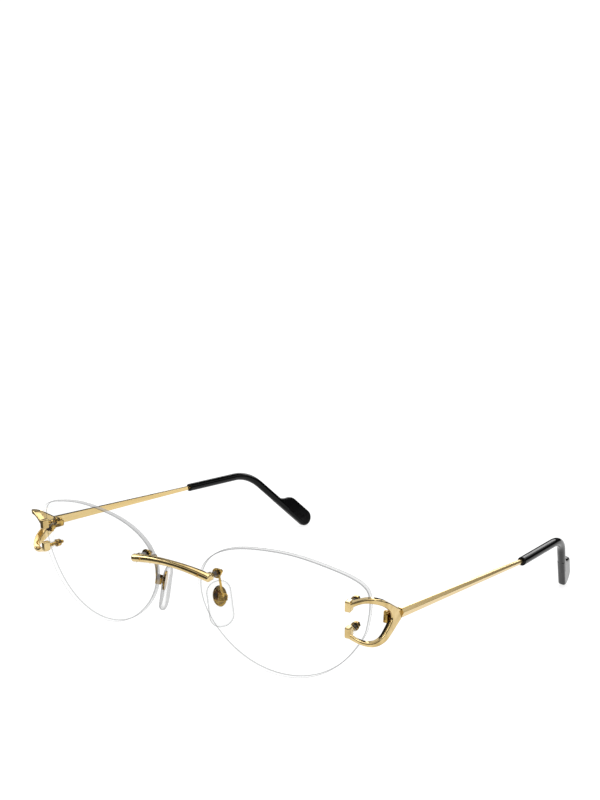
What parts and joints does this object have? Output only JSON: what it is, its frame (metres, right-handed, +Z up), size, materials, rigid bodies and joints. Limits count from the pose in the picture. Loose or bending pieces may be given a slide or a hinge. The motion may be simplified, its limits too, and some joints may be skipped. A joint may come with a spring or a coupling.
{
  "type": "eyeglasses",
  "caption": "Rimless eyeglasses: clear lenses screwed to a slim gold bridge and open-loop endpieces, rocking clear nose pads, folding gold temples with black tips.",
  "frame": {"origin": "middle of the footprint on the surface the glasses stand on, temples open", "axes": "+Z up, +Y back along the open temples, +X towards the wearer's left"},
  "size_m": [0.1416, 0.1534, 0.0372],
  "materials": {
    "gold": "polished light gold plate",
    "lens": "clear, uncoated",
    "clear_plastic": "clear, polished",
    "pad": "clear, soft polish",
    "tip": "glossy black"
  },
  "bodies": {
    "front": {"bridge": "gold", "lens_left": "lens", "lens_bushings_left": "clear_plastic", "lens_washers_left": "clear_plastic", "lens_nuts_left": "gold", "endpiece_left": "gold", "endpiece_studs_left": "gold", "endpiece_washers_left": "gold", "bridge_stud_left": "gold", "pad_arm_left": "gold", "pad_screw_left": "gold", "hinge_front_leaf_left": "gold", "hinge_screw_left": "gold", "lens_right": "lens", "lens_bushings_right": "clear_plastic", "lens_washers_right": "clear_plastic", "lens_nuts_right": "gold", "endpiece_right": "gold", "endpiece_studs_right": "gold", "endpiece_washers_right": "gold", "bridge_stud_right": "gold", "pad_arm_right": "gold", "pad_screw_right": "gold", "hinge_front_leaf_right": "gold", "hinge_screw_right": "gold"},
    "temple_left": {"temple_left": "gold", "temple_tip_left": "tip", "hinge_temple_leaf_left": "gold"},
    "pad_left": {"nose_pad_left": "pad", "pad_insert_left": "gold"},
    "temple_right": {"temple_right": "gold", "temple_tip_right": "tip", "hinge_temple_leaf_right": "gold"},
    "pad_right": {"nose_pad_right": "pad", "pad_insert_right": "gold"}
  },
  "joints": [
    {"name": "temple_fold_left", "type": "hinge", "parent": "front", "child": "temple_left", "pos_m": [0.06515, -0.06144, 0.02273], "axis": [0, -0.0095, 1], "range_deg": [0, 89]},
    {"name": "temple_fold_right", "type": "hinge", "parent": "front", "child": "temple_right", "pos_m": [-0.06515, -0.06144, 0.02273], "axis": [0, 0.0095, -1], "range_deg": [0, 80]},
    {"name": "pad_rock_left", "type": "hinge", "parent": "front", "child": "pad_left", "pos_m": [0.0123, -0.06639, 0.01728], "axis": [0.4819, 0.8653, 0.1378], "range_deg": [-8, 8]},
    {"name": "pad_rock_right", "type": "hinge", "parent": "front", "child": "pad_right", "pos_m": [-0.0123, -0.06639, 0.01728], "axis": [-0.4819, 0.8653, 0.1378], "range_deg": [-8, 8]}
  ]
}
